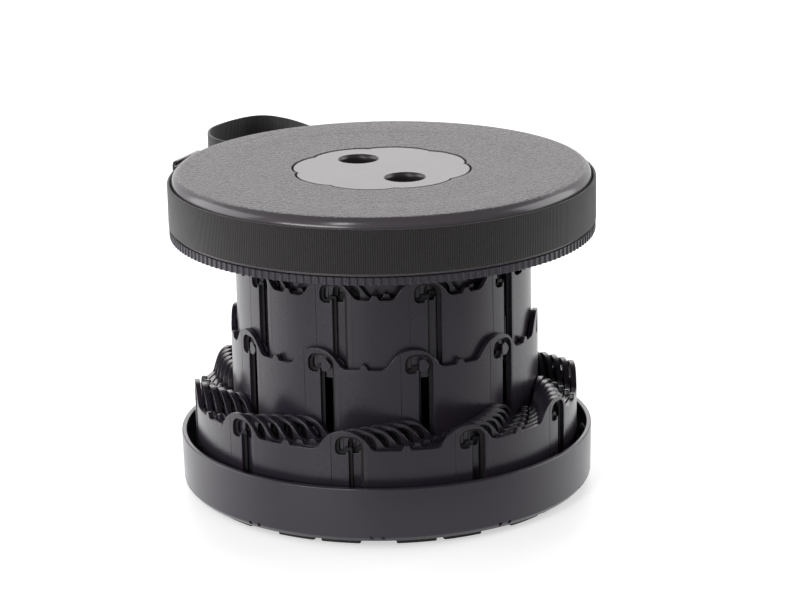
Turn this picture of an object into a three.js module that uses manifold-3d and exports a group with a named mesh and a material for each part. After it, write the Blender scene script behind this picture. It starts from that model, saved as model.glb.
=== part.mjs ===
// Collapsible telescopic stool, in the pose where three of its nine stages are raised.
// A round base dish carries a nest of slotted rings. Each ring slides up out of the one around it,
// guided by ten lugs that run in hooked slots, and the innermost tube carries the round seat.
// Millimetres, +Z up, origin on the stool's axis at floor level, front towards -Y.
import * as THREE from 'three';
import { mergeVertices } from 'three/addons/utils/BufferGeometryUtils.js';
import Module from 'manifold-3d';

const wasm = await Module();
wasm.setup();

// Telescope
const ringTotal = 9;
const tubeNumber = ringTotal + 1;
const liftShares = [0, 0, 0, 0, 0, 0, 1, 2, 2, 3];
const slotsPerRing = 10;
const outerRingRadius = 113.9;
const ringWall = 3;
const ringGap = 0.83;
const ringHeight = 58.2;
const stageTravel = 40.2;
const outerRingTurn = THREE.MathUtils.degToRad(-12.4);

// Wavy rim of a ring: humps over the slots, and a small nub in the middle of each valley
const humpHalfWidth = 18.4;
const humpHeight = 11.5;
const humpShares = [[1, 0], [0.78, 0.4], [0.3, 1]];
const nubHalfWidth = 2.9;
const nubHeight = 2.4;

// Hooked slot: a pocket left of a straight channel, under one round crown
const slotCrownWall = 3;
const pocketReach = 4.9;
const pocketDepth = 11;
const crownShares = [[-1, 0.72], [-0.94, 0.16], [-0.4, 0], [0.3, 0.04], [0.9, 0.45]];
const pocketFootShares = [-0.5, 1];
const channelStart = 2.8;
const channelWidth = 8.4;
const channelFootWall = 4.2;

// Guide lugs near the foot of each ring
const lugWidth = 5.6;
const lugHeight = 7.9;
const lugPlay = 0.6;
const lugSeat = 0.3;
const lugEndGap = 0.43;
const lugShares = [[-0.34, 0], [0.5, 0.12], [-0.16, 1], [-0.5, 0.7]];

// Base dish
const roundSides = 36;
const footHeight = 4;
const basePlate = 4.4;
const dishRoom = 2.2;
const baseTaper = 0.5;
const baseWall = 3;
const baseHeight = 36;
const baseEdge = 2.8;
const hubRadius = 20;
const hookHeight = 5;
const hookWidth = 9;
const hookOverlap = 1.3;

// Rubber foot pads, in pairs
const padsPerPair = 2;
const padInset = 8.7;
const padWidth = 11;
const padLength = 23.4;
const padPairGap = 4.2;
const padTurn = THREE.MathUtils.degToRad(-21);

// Seat panel with its rounded shoulder and the skirt that the strap lies round
const seatHeadroom = 1.7;
const seatPanel = 3.3;
const seatDish = 0.9;
const shoulderDrop = 5.5;
const shoulderWidth = 9.1;
const shoulderShares = [[0, 0.3], [0.26, 0.74], [1, 1]];
const seatWall = 3.2;
const skirtInset = 1.6;

// Handle insert with two finger holes
const lobes = 8;
const insertRoom = 8.03;
const lobeRise = 2.6;
const lobeShares = [0, 0.74, 1, 0.74];
const lobeTurn = THREE.MathUtils.degToRad(8.6);
const insertGap = 0.4;
const insertSink = 0.2;
const insertFlange = 2.7;
const insertFlangeReach = 4;
const fingerRadius = 11;
const fingerWall = 2.4;
const fingerInset = 22.5;
const fingerTurn = THREE.MathUtils.degToRad(29.6);
const fingerTubeDrop = 8;
const fingerSides = 12;
const fingerFillet = 1.5;

// Ribbed grip ring below the strap
const gripHeight = 4.7;
const rimOverhang = 2.7;
const gripRibs = 180;
const gripRibDepth = 0.9;
const gripWall = 2.8;
const gripOverlap = 2.4;
const gripLedgeReach = 2.6;

// Webbing strap, its carry loop and the slider that holds it
const strapWidth = 25.4;
const strapThickness = 1.6;
const strapRoom = 1.7;
const loopReach = 57.6;
const loopStart = THREE.MathUtils.degToRad(-104);
const loopSpan = THREE.MathUtils.degToRad(-72);
const loopShares = [
  [0, 0], [0.12, 0], [0.25, 0], [0.35, 0], [0.4, 0.01], [0.421, 0.045], [0.4285, 0.11],
  [0.433, 0.293], [0.449, 0.449], [0.4635, 0.541], [0.484, 0.637], [0.511, 0.736], [0.5445, 0.818],
  [0.592, 0.9], [0.632, 0.954], [0.675, 1], [0.707, 0.997], [0.736, 0.918], [0.754, 0.796],
  [0.771, 0.646], [0.786, 0.459], [0.806, 0.193], [0.823, 0.045], [0.85, 0], [0.92, 0], [1, 0],
];
const loopSteps = 44;
const sliderTurn = THREE.MathUtils.degToRad(-115.3);
const sliderSag = 2;
const sliderWidth = 34;
const sliderHeight = 31.4;
const sliderThickness = 2.5;
const sliderBar = 3.4;

// Screws that hold the seat tube under the seat panel
const screwTotal = 5;
const screwRadius = 1.6;
const screwHeadRadius = 3.4;
const screwHeadHeight = 2;
const screwBite = 1;
const screwHoleRoom = 0.4;
const screwSides = 6;
const tubeFlange = 3;
const tubeFlangeReach = 12;

// Clearances
const seatGap = 0.3;
const overrun = 1;

// How far a ring, or the tube that counts as the last one, stands above its place in the closed nest
function lift(number) {
  return liftShares[number - 1] * stageTravel;
}

// Heights worked out from the stack
const plateTop = footHeight + basePlate;
const nestFoot = plateTop + seatGap;
const valleyHeight = ringHeight - humpHeight;
const seatUnderside = nestFoot + lift(tubeNumber) + ringHeight + seatHeadroom;
const seatTop = seatUnderside + seatPanel;
const strapTop = seatTop - shoulderDrop;
const strapFoot = strapTop - strapWidth;
const gripTop = strapFoot - strapRoom;
const ringPitch = ringWall + ringGap;
const lugReach = ringPitch - lugEndGap;
const lugMiddle = channelStart - lugPlay - lugWidth / 2;
const lugStand = channelStart + lugPlay + lugWidth / 2;
const lugFoot = channelFootWall + lugSeat;

// Radii worked out from the outermost ring
const tubeInner = outerRingRadius - ringTotal * ringPitch - ringWall;
const baseRadius = outerRingRadius + lugReach + dishRoom + baseWall;
const padOuterRadius = baseRadius - padInset;
const gripRadius = baseRadius + rimOverhang;
const skirtRadius = gripRadius - skirtInset;
const seatInner = gripRadius - gripWall;
const bandRadius = skirtRadius + seatGap;
const bandOuter = bandRadius + strapThickness;
const insertFlangeRadius = tubeInner - tubeFlangeReach - insertRoom;
const cuspRadius = insertFlangeRadius - insertFlangeReach - lobeRise;
const fingerSpread = cuspRadius - fingerInset;

const palette = {
  ring: { color: 0x26282a, roughness: 0.46, metalness: 0 },
  base: { color: 0x232527, roughness: 0.42, metalness: 0 },
  seat: { color: 0x3a3b3d, roughness: 0.6, metalness: 0 },
  insert: { color: 0x4a4b4d, roughness: 0.38, metalness: 0 },
  strap: { color: 0x1c1b1a, roughness: 0.95, metalness: 0 },
  rubber: { color: 0x161616, roughness: 0.9, metalness: 0 },
  steel: { color: 0x8c8e90, roughness: 0.35, metalness: 1 },
};

const stool = new THREE.Group();

function addPart(name, geometry, finish, height = 0, turn = 0) {
  const mesh = new THREE.Mesh(geometry, new THREE.MeshStandardMaterial(palette[finish]));
  mesh.name = name;
  mesh.position.z = height;
  mesh.rotation.z = turn;
  stool.add(mesh);
}

// A geometry with only positions, its shared corners joined and its faces pointing out
function closedGeometry(source) {
  source.deleteAttribute('normal');
  source.deleteAttribute('uv');
  const geometry = mergeVertices(source);
  const place = geometry.attributes.position;
  const index = geometry.index.array;
  const corner = [new THREE.Vector3(), new THREE.Vector3(), new THREE.Vector3()];
  const kept = [];
  let volume = 0;
  for (let face = 0; face < index.length; face += 3) {
    const [a, b, c] = [index[face], index[face + 1], index[face + 2]];
    if (a === b || b === c || c === a) continue;
    kept.push(a, b, c);
    corner[0].fromBufferAttribute(place, a);
    corner[1].fromBufferAttribute(place, b);
    corner[2].fromBufferAttribute(place, c);
    volume += corner[0].dot(corner[1].cross(corner[2]));
  }
  geometry.setIndex(volume < 0 ? kept.reverse() : kept);
  return geometry;
}

function toSolid(source) {
  const geometry = closedGeometry(source);
  return new wasm.Manifold(new wasm.Mesh({
    numProp: 3,
    vertProperties: new Float32Array(geometry.attributes.position.array),
    triVerts: new Uint32Array(geometry.index.array),
  }));
}

function fromSolid(solid) {
  const mesh = solid.getMesh();
  const geometry = new THREE.BufferGeometry();
  geometry.setAttribute('position', new THREE.BufferAttribute(mesh.vertProperties, 3));
  geometry.setIndex(new THREE.BufferAttribute(mesh.triVerts, 1));
  return geometry;
}

// A profile of [radius, height] points turned about the stool's axis
function revolve(profile, sides = roundSides) {
  const points = profile.map(([radius, height]) => new THREE.Vector2(radius, height));
  const onAxis = profile[0][0] === 0 && profile[profile.length - 1][0] === 0;
  if (!onAxis) points.push(points[0].clone());
  return new THREE.LatheGeometry(points, sides).rotateX(Math.PI / 2);
}

function plate(shape, foot, thickness) {
  return new THREE.ExtrudeGeometry(shape, { depth: thickness, bevelEnabled: false, steps: 1 })
    .translate(0, 0, foot);
}

// A place on a circle, with the angle counted from the front (-Y) towards the right (+X)
function onCircle(radius, angle) {
  return new THREE.Vector2(radius * Math.sin(angle), -radius * Math.cos(angle));
}

function outlineShape(points) {
  return new THREE.Shape(points.map(([x, y]) => new THREE.Vector2(x, y)));
}

// Rings are drawn flat, as [arc length along the outer face, height above the foot], and then bent
// round the axis. The skin is split into upright strips so that its faces follow the circle.
class BentShell {
  constructor(radius) {
    this.radius = radius;
    this.corners = [];
  }

  corner([along, height], radius, turn) {
    const angle = turn + along / this.radius;
    this.corners.push(radius * Math.sin(angle), -radius * Math.cos(angle), height);
  }

  face(points, radius, turn, outward) {
    const order = outward ? points : [...points].reverse();
    order.forEach((point) => this.corner(point, radius, turn));
  }

  skin(contour, holes, radius, turn, outward) {
    const flat = (points) => points.map(([x, y]) => new THREE.Vector2(x, y));
    const faces = THREE.ShapeUtils.triangulateShape(flat(contour), holes.map(flat));
    const all = [contour, ...holes].flat();
    faces.forEach((corners) => {
      this.face(corners.map((i) => all[i]), radius, turn, outward);
    });
  }

  // The edge faces along a run of points that has the material on its left, seen from outside
  edge(run, inner, outer, turn) {
    for (let i = 0; i + 1 < run.length; i += 1) {
      const [from, to] = [run[i], run[i + 1]];
      [[from, outer], [from, inner], [to, inner]].forEach(([p, r]) => this.corner(p, r, turn));
      [[from, outer], [to, inner], [to, outer]].forEach(([p, r]) => this.corner(p, r, turn));
    }
  }

  geometry() {
    const geometry = new THREE.BufferGeometry();
    geometry.setAttribute('position', new THREE.Float32BufferAttribute(this.corners, 3));
    return closedGeometry(geometry);
  }
}

const closeRun = (points) => [...points, points[0]];

function lugOutline() {
  return lugShares.map(([across, up]) => [lugMiddle + across * lugWidth, lugFoot + up * lugHeight]);
}

function rimOutline(halfPitch) {
  const nub = [
    [-halfPitch, valleyHeight + nubHeight],
    [-halfPitch + nubHalfWidth, valleyHeight],
  ];
  const rise = humpShares.map(([side, up]) => (
    [-side * humpHalfWidth, valleyHeight + up * humpHeight]
  ));
  const left = [...nub, ...rise];
  const right = left.map(([along, height]) => [-along, height]).reverse();
  return [...left, ...right];
}

// Drawn clockwise, as a hole: up the pocket, over the crown, down the channel and back to the hook
function slotOutline() {
  const top = ringHeight - slotCrownWall;
  const pocketFloor = top - pocketDepth;
  const channelEnd = channelStart + channelWidth;
  const halfWidth = (channelEnd + pocketReach) / 2;
  const middle = (channelEnd - pocketReach) / 2;
  const place = ([side, down]) => [middle + side * halfWidth, top - down * pocketDepth];
  return [
    ...crownShares.map(place),
    [channelEnd, channelFootWall],
    [channelStart, channelFootWall],
    [channelStart, pocketFloor + lugPlay],
    place(pocketFootShares),
  ];
}

// Ten equal periods of skin and edges. A plain tube has a level rim and no slots.
function ringGeometry(radius, height, slotted) {
  const shell = new BentShell(radius);
  const inner = radius - ringWall;
  const halfPitch = (Math.PI * radius) / slotsPerRing;
  const column = humpShares[1][0] * humpHalfWidth;
  const columns = [-halfPitch, -column, column, halfPitch];
  const foot = [...columns, channelStart].sort((a, b) => a - b).map((along) => [along, 0]);
  const level = columns.map((along) => [along, height]);
  const rim = slotted ? rimOutline(halfPitch) : level;
  const slot = slotted ? [slotOutline()] : [];
  const lug = lugOutline();
  for (let period = 0; period < slotsPerRing; period += 1) {
    const turn = (2 * Math.PI * period) / slotsPerRing;
    for (let strip = 0; strip + 1 < columns.length; strip += 1) {
      const [start, end] = [columns[strip], columns[strip + 1]];
      const inside = ([along]) => along >= start && along <= end;
      const contour = [...foot.filter(inside), ...rim.filter(inside).reverse()];
      const holes = start < 0 && end > 0 ? slot : [];
      const lugHole = start < 0 && end > 0 ? [[...lug].reverse()] : [];
      shell.skin(contour, [...holes, ...lugHole], radius, turn, true);
      shell.skin(contour, holes, inner, turn, false);
    }
    shell.edge(foot, inner, radius, turn);
    shell.edge([...rim].reverse(), inner, radius, turn);
    slot.forEach((outline) => shell.edge(closeRun(outline), inner, radius, turn));
    shell.edge(closeRun(lug), radius, radius + lugReach, turn);
    shell.skin(lug, [], radius + lugReach, turn, true);
  }
  return shell.geometry();
}

function addRings() {
  let radius = outerRingRadius;
  let turn = outerRingTurn;
  for (let number = 1; number <= ringTotal; number += 1) {
    const foot = nestFoot + lift(number);
    addPart(`ring_${number}`, ringGeometry(radius, ringHeight, true), 'ring', foot, turn);
    turn += lugStand / radius;
    radius -= ringPitch;
    turn -= lugMiddle / radius;
  }
  return { radius, turn };
}

// The innermost tube stands up to the seat panel and has an inward flange for the screws
function addSeatTube({ radius, turn }) {
  const foot = nestFoot + lift(tubeNumber);
  const height = seatUnderside - seatGap - foot;
  const inner = radius - ringWall;
  const tube = toSolid(ringGeometry(radius, height, false));
  const flange = toSolid(revolve([
    [inner - tubeFlangeReach, height - tubeFlange],
    [inner + ringWall / 2, height - tubeFlange],
    [inner + ringWall / 2, height],
    [inner - tubeFlangeReach, height],
  ]));
  let solid = tube.add(flange);
  screwPlaces(radius).forEach((place) => {
    solid = solid.subtract(screwHole(place, height - tubeFlange - overrun, height + overrun));
  });
  addPart('seat_tube', fromSolid(solid), 'ring', foot, turn);
}

function screwPlaces(radius) {
  const circle = radius - ringWall - tubeFlangeReach / 2;
  return Array.from({ length: screwTotal }, (_, i) => onCircle(circle, (2 * Math.PI * i) / screwTotal));
}

function screwHole(place, foot, top) {
  const radius = screwRadius + screwHoleRoom;
  const hole = revolve([[0, foot], [radius, foot], [radius, top], [0, top]], screwSides);
  return toSolid(hole.translate(place.x, place.y, 0));
}

function addScrews({ radius, turn }) {
  const head = seatUnderside - 2 * seatGap - tubeFlange - screwHeadHeight;
  const neck = head + screwHeadHeight;
  const tip = seatUnderside + screwBite;
  screwPlaces(radius).forEach((place, i) => {
    const screw = revolve([
      [0, head], [screwHeadRadius, head], [screwHeadRadius, neck],
      [screwRadius, neck], [screwRadius, tip], [0, tip],
    ], screwSides).translate(place.x, place.y, 0);
    addPart(`seat_screw_${i + 1}`, closedGeometry(screw), 'steel', 0, turn);
  });
}

// Flat-floored dish with a snap hook over each of the outer ring's lugs
function addBase() {
  const inner = baseRadius - baseWall;
  let solid = toSolid(revolve([
    [0, 0], [hubRadius, 0], [hubRadius, footHeight],
    [baseRadius - baseTaper - baseEdge, footHeight],
    [baseRadius - baseTaper, footHeight + baseEdge],
    [baseRadius, baseHeight], [inner, baseHeight], [inner, plateTop], [0, plateTop],
  ]));
  const hookFoot = nestFoot + lugFoot + lugHeight + seatGap;
  const lugEnd = outerRingRadius + lugReach;
  const hookProfile = outlineShape([
    [lugEnd - hookOverlap, hookFoot],
    [inner + baseWall / 2, hookFoot],
    [inner + baseWall / 2, hookFoot + hookHeight],
    [inner - seatGap, hookFoot + hookHeight],
  ]);
  const hook = new THREE.ExtrudeGeometry(hookProfile, { depth: hookWidth, bevelEnabled: false })
    .translate(0, 0, -hookWidth / 2)
    .rotateX(Math.PI / 2)
    .rotateZ(-Math.PI / 2);
  for (let i = 0; i < slotsPerRing; i += 1) {
    const angle = outerRingTurn + lugMiddle / outerRingRadius + (2 * Math.PI * i) / slotsPerRing;
    solid = solid.add(toSolid(hook.clone().rotateZ(angle)));
  }
  addPart('base_dish', fromSolid(solid), 'base');
}

function padShape(start, end) {
  const inner = padOuterRadius - padWidth;
  return new THREE.Shape([
    onCircle(padOuterRadius, start), onCircle(padOuterRadius, end),
    onCircle(inner, end), onCircle(inner, start),
  ]);
}

function addPads() {
  const padAngle = padLength / padOuterRadius;
  const gapAngle = padPairGap / padOuterRadius;
  const pairAngle = padsPerPair * padAngle + (padsPerPair - 1) * gapAngle;
  for (let i = 0; i < slotsPerRing * padsPerPair; i += 1) {
    const pair = Math.floor(i / padsPerPair);
    const side = i % padsPerPair;
    const start = side * (padAngle + gapAngle) - pairAngle / 2;
    const shape = padShape(start, start + padAngle);
    const turn = padTurn + (2 * Math.PI * pair) / slotsPerRing;
    addPart(`foot_pad_${i + 1}`, closedGeometry(plate(shape, 0, footHeight - seatGap)), 'rubber', 0, turn);
  }
}

function lobedShape(grow) {
  const points = [];
  const step = (2 * Math.PI) / (lobes * lobeShares.length);
  for (let i = 0; i < lobes * lobeShares.length; i += 1) {
    const radius = cuspRadius + grow + lobeRise * lobeShares[i % lobeShares.length];
    points.push(onCircle(radius, lobeTurn + i * step));
  }
  return new THREE.Shape(points);
}

// Dished panel, rounded shoulder and skirt in one revolved shell
function addSeatShell({ radius, turn }) {
  const skirtFoot = gripTop + seatGap;
  const spigot = seatInner * Math.cos(Math.PI / roundSides) - seatGap;
  const shoulder = shoulderShares.map(([across, up]) => (
    [skirtRadius - across * shoulderWidth, strapTop + up * shoulderDrop]
  ));
  const skirtInner = skirtRadius - seatWall;
  const centre = cuspRadius - overrun;
  let solid = toSolid(revolve([
    [spigot, gripTop - gripOverlap],
    [spigot, skirtFoot],
    [skirtRadius, skirtFoot],
    ...shoulder,
    [centre, seatTop - seatDish],
    [centre, seatUnderside],
    [skirtInner, seatUnderside],
    [skirtInner, gripTop - gripOverlap],
  ]));
  const opening = plate(lobedShape(insertGap), seatUnderside - overrun, seatPanel + 2 * overrun);
  solid = solid.subtract(toSolid(opening));
  screwPlaces(radius).forEach((place) => {
    const spot = place.clone().rotateAround(new THREE.Vector2(), turn);
    solid = solid.subtract(screwHole(spot, seatUnderside - overrun, seatUnderside + screwBite + seatGap));
  });
  addPart('seat_shell', fromSolid(solid), 'seat');
}

// Lobed plug that fills the seat's opening from below, with a tube for each finger hole
function addHandleInsert() {
  const top = seatTop - seatDish - insertSink;
  const flangeTop = seatUnderside - seatGap;
  const flangeFoot = flangeTop - insertFlange;
  const tubeFoot = top - insertFlange - fingerTubeDrop;
  const disc = [
    [0, flangeFoot], [insertFlangeRadius, flangeFoot], [insertFlangeRadius, flangeTop], [0, flangeTop],
  ];
  let solid = toSolid(plate(lobedShape(0), flangeFoot, top - flangeFoot)).add(toSolid(revolve(disc)));
  const outer = fingerRadius + fingerWall;
  const tube = revolve([[0, tubeFoot], [outer, tubeFoot], [outer, flangeTop], [0, flangeTop]], fingerSides);
  const mouth = fingerRadius + fingerFillet;
  const bore = revolve([
    [0, tubeFoot - overrun], [fingerRadius, tubeFoot - overrun], [fingerRadius, top - fingerFillet],
    [fingerRadius + fingerFillet / 3, top - fingerFillet / 3], [mouth, top], [mouth, top + overrun],
    [0, top + overrun],
  ], fingerSides);
  [0, Math.PI].forEach((side) => {
    const place = onCircle(fingerSpread, fingerTurn + side);
    solid = solid.add(toSolid(tube.clone().translate(place.x, place.y, 0)));
  });
  [0, Math.PI].forEach((side) => {
    const place = onCircle(fingerSpread, fingerTurn + side);
    solid = solid.subtract(toSolid(bore.clone().translate(place.x, place.y, 0)));
  });
  addPart('handle_insert', fromSolid(solid), 'insert');
}

// Ring of fine upright ribs round the foot of the seat's skirt. The ledge inside its foot carries
// the spigot of the seat shell, and rests on the base's rim when the stool is closed.
function addGripRing() {
  const foot = gripTop - gripHeight;
  const ledgeTop = gripTop - gripOverlap - seatGap;
  const ribs = [];
  for (let i = 0; i < 2 * gripRibs; i += 1) {
    ribs.push(onCircle(gripRadius - (i % 2) * gripRibDepth, (Math.PI * i) / gripRibs));
  }
  const shape = new THREE.Shape(ribs);
  const hole = Array.from({ length: roundSides }, (_, i) => (
    onCircle(seatInner - gripLedgeReach, (2 * Math.PI * i) / roundSides)
  ));
  shape.holes.push(new THREE.Path(hole));
  const recess = revolve([
    [0, ledgeTop], [seatInner, ledgeTop], [seatInner, gripTop + overrun], [0, gripTop + overrun],
  ]);
  const solid = toSolid(plate(shape, foot, gripHeight)).subtract(toSolid(recess));
  addPart('grip_ring', fromSolid(solid), 'base');
}

function addStrap() {
  const band = revolve([
    [bandRadius, strapFoot], [bandOuter, strapFoot], [bandOuter, strapTop], [bandRadius, strapTop],
  ]);
  addPart('strap_band', closedGeometry(band), 'strap');
  const lie = bandOuter + seatGap + strapThickness / 2;
  const route = new THREE.CatmullRomCurve3(loopShares.map(([along, out]) => {
    const place = onCircle(lie + out * loopReach, loopStart + along * loopSpan);
    return new THREE.Vector3(place.x, place.y, 0);
  }), false, 'centripetal');
  const points = route.getSpacedPoints(loopSteps);
  const sideways = (i) => {
    const tangent = route.getTangentAt(i / loopSteps);
    return new THREE.Vector3(-tangent.y, tangent.x, 0).multiplyScalar(strapThickness / 2);
  };
  const left = points.map((point, i) => point.clone().add(sideways(i)));
  const right = points.map((point, i) => point.clone().sub(sideways(i))).reverse();
  const ribbon = new THREE.Shape([...left, ...right].map((point) => new THREE.Vector2(point.x, point.y)));
  addPart('strap_loop', closedGeometry(plate(ribbon, strapFoot, strapWidth)), 'strap');
}

// Flat frame with two windows and a middle bar, lying outside the strap
function addSlider() {
  const lie = bandOuter + strapThickness + 3 * seatGap;
  const height = (strapTop + strapFoot) / 2 - sliderSag;
  const block = (width, thickness, tall, across) => (
    toSolid(new THREE.BoxGeometry(width, thickness, tall).translate(across, 0, 0))
  );
  const windowWidth = (sliderWidth - 3 * sliderBar) / 2;
  const windowHeight = sliderHeight - 2 * sliderBar;
  const across = (windowWidth + sliderBar) / 2;
  const solid = block(sliderWidth, sliderThickness, sliderHeight, 0)
    .subtract(block(windowWidth, sliderThickness + overrun, windowHeight, -across))
    .subtract(block(windowWidth, sliderThickness + overrun, windowHeight, across));
  const geometry = fromSolid(solid).translate(0, -lie - sliderThickness / 2, height);
  addPart('strap_slider', geometry, 'base', 0, sliderTurn);
}

addBase();
addPads();
const tubePlace = addRings();
addSeatTube(tubePlace);
addScrews(tubePlace);
addSeatShell(tubePlace);
addHandleInsert();
addGripRing();
addStrap();
addSlider();

export default stool;
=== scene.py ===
# %% [markdown]
# # A collapsible telescopic stool
# The stool is a black plastic column of nine slotted rings that slide inside each other, on a
# round base dish and under a round seat with a webbing strap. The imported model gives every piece
# its place and its motion. This lesson dresses each one in its real form and finish.

# %% Load the model that the stool is built on
import math

import bmesh
import bpy
from mathutils import Matrix, Vector


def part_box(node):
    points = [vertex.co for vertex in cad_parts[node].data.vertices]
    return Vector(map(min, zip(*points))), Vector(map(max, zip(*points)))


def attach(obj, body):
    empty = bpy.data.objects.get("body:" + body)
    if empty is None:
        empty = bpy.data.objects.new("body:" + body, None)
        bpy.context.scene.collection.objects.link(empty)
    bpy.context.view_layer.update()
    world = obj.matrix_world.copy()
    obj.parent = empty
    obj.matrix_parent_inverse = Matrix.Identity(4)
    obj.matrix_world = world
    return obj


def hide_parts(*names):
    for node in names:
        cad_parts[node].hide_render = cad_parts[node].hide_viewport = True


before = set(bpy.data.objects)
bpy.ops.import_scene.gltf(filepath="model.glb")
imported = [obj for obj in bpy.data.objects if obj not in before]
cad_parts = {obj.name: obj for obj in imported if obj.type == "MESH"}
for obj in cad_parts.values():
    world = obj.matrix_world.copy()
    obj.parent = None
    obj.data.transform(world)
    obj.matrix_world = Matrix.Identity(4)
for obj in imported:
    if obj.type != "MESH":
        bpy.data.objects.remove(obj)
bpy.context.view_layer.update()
mm = 0.001

# %% [markdown]
# ## Small tools
# Blender's operators act on whatever is selected, so each tool first deselects everything. A flat
# outline is drawn as a circle of as many corners as the outline has, whose corners are then put in
# place. Extruding it gives a plate, and plates are what moulded parts are cut from.

# %% Select, apply and join
def take(*pieces):
    """Makes these pieces the only selected ones, and the first one active."""
    bpy.ops.object.select_all(action="DESELECT")
    for piece in pieces:
        piece.select_set(True)
    bpy.context.view_layer.objects.active = pieces[0]


def apply_modifier(piece, kind, **settings):
    take(piece)
    modifier = piece.modifiers.new(kind, kind)
    for setting, value in settings.items():
        setattr(modifier, setting, value)
    bpy.ops.object.modifier_apply(modifier=modifier.name)


def join(pieces):
    take(*pieces)
    bpy.ops.object.join()
    return pieces[0]


def cut_away(piece, cutter):
    apply_modifier(piece, "BOOLEAN", object=cutter, operation="DIFFERENCE", solver="EXACT")
    bpy.data.objects.remove(cutter)


def fuse(piece, other):
    apply_modifier(piece, "BOOLEAN", object=other, operation="UNION", solver="EXACT")
    bpy.data.objects.remove(other)


print("tools for whole pieces are ready")


# %% Edges, faces and shading
def round_edges(piece, width, segments=2, above=35):
    apply_modifier(piece, "BEVEL", width=width, segments=segments, limit_method="ANGLE",
                   angle_limit=math.radians(above), use_clamp_overlap=True)


def face_outwards(piece):
    take(piece)
    bpy.ops.object.mode_set(mode="EDIT")
    bpy.ops.mesh.select_all(action="SELECT")
    bpy.ops.mesh.remove_doubles(threshold=0.005 * mm)
    bpy.ops.mesh.normals_make_consistent(inside=False)
    bpy.ops.object.mode_set(mode="OBJECT")


def delete_faces(piece, indices):
    """Opens a piece where its copies are to meet."""
    take(piece)
    bpy.ops.object.mode_set(mode="EDIT")
    bpy.ops.mesh.select_mode(type="FACE")
    bpy.ops.mesh.select_all(action="DESELECT")
    bpy.ops.object.mode_set(mode="OBJECT")
    for index in indices:
        piece.data.polygons[index].select = True
    bpy.ops.object.mode_set(mode="EDIT")
    bpy.ops.mesh.delete(type="ONLY_FACE")
    bpy.ops.mesh.select_mode(type="VERT")
    bpy.ops.object.mode_set(mode="OBJECT")


def repeat(piece, count, pitch):
    """Copies in a row along x, welded where they meet."""
    apply_modifier(piece, "ARRAY", count=count, use_relative_offset=False,
                   use_constant_offset=True, constant_offset_displace=(pitch, 0, 0),
                   use_merge_vertices=True, merge_threshold=0.01 * mm)


def smooth(piece, angle=38, by_area=False):
    """Smooth shading. By area, the big faces lead the shine and the rounded edges stay crisp."""
    take(piece)
    bpy.ops.object.shade_smooth_by_angle(angle=math.radians(angle))
    if by_area:
        apply_modifier(piece, "WEIGHTED_NORMAL", mode="FACE_AREA", weight=50, keep_sharp=True)


print("tools for edges and faces are ready")


# %% Outlines with rounded corners
def rounded(corners, steps=5):
    """Corners are (across, up, radius). Each is rounded to its radius, or kept where that is 0."""
    outline = []
    for number, (across, up, radius) in enumerate(corners):
        here = Vector((across, up))
        if radius == 0:
            outline.append(here)
            continue
        before = Vector(corners[number - 1][:2]) - here
        after = Vector(corners[(number + 1) % len(corners)][:2]) - here
        half = before.angle(after) / 2
        reach = min(radius / math.tan(half), 0.499 * before.length, 0.499 * after.length)
        inwards = (before.normalized() + after.normalized()).normalized()
        centre = here + inwards * reach / math.cos(half)
        start = here + before.normalized() * reach - centre
        end = here + after.normalized() * reach - centre
        turn = math.atan2(start.cross(end), start.dot(end))
        for step in range(steps + 1):
            outline.append(centre + Matrix.Rotation(turn * step / steps, 2) @ start)
    return outline


print("a rounded corner has", len(rounded([(0, 0, 1), (9, 0, 0), (0, 9, 0)])) - 2, "points")


# %% Plates and turned pieces
def plate(name, outline, front, back):
    """A plate that stands upright, drawn in x and z, from y = front to y = back."""
    bpy.ops.object.select_all(action="DESELECT")
    bpy.ops.mesh.primitive_circle_add(vertices=len(outline), radius=mm, fill_type="NGON")
    piece = bpy.context.object
    piece.name = name
    for corner, (across, up) in zip(piece.data.vertices, outline):
        corner.co = (across, front, up)
    bpy.ops.object.mode_set(mode="EDIT")
    bpy.ops.mesh.select_all(action="SELECT")
    bpy.ops.mesh.extrude_region_move(TRANSFORM_OT_translate={"value": (0, back - front, 0)})
    bpy.ops.object.mode_set(mode="OBJECT")
    face_outwards(piece)
    return piece


def lay_flat(piece):
    """Turns an upright plate's drawing plane from x-z to x-y, with its depth pointing up."""
    piece.data.transform(Matrix.Rotation(-math.pi / 2, 4, "X"))
    piece.data.transform(Matrix.Scale(-1, 4, (0, 0, 1)))
    face_outwards(piece)


def turned(name, profile, steps=180):
    """Spins a closed profile of (radius, height) points round the stool's axis."""
    first = profile[0]
    bpy.ops.object.select_all(action="DESELECT")
    bpy.ops.mesh.primitive_plane_add(size=0.1 * mm)
    piece = bpy.context.object
    piece.name = name
    bpy.ops.object.mode_set(mode="EDIT")
    bpy.ops.mesh.select_all(action="SELECT")
    bpy.ops.mesh.merge(type="CENTER")
    bpy.ops.transform.translate(value=(first[0], 0, first[1]))
    at = first
    for point in [*profile[1:], first]:
        step = (point[0] - at[0], 0, point[1] - at[1])
        bpy.ops.mesh.extrude_region_move(TRANSFORM_OT_translate={"value": step})
        at = point
    bpy.ops.mesh.select_all(action="SELECT")
    bpy.ops.mesh.remove_doubles(threshold=0.002 * mm)
    bpy.ops.mesh.spin(steps=steps, angle=2 * math.pi, center=(0, 0, 0), axis=(0, 0, 1))
    bpy.ops.object.mode_set(mode="OBJECT")
    face_outwards(piece)
    return piece


def round_profile(corners, steps=5):
    return [tuple(point) for point in rounded(corners, steps)]


def on_circle(radius, angle):
    """A place on a circle, with the angle counted from the front towards the right."""
    return radius * math.sin(angle), -radius * math.cos(angle)


print("tools for plates and turned pieces are ready")

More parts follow.
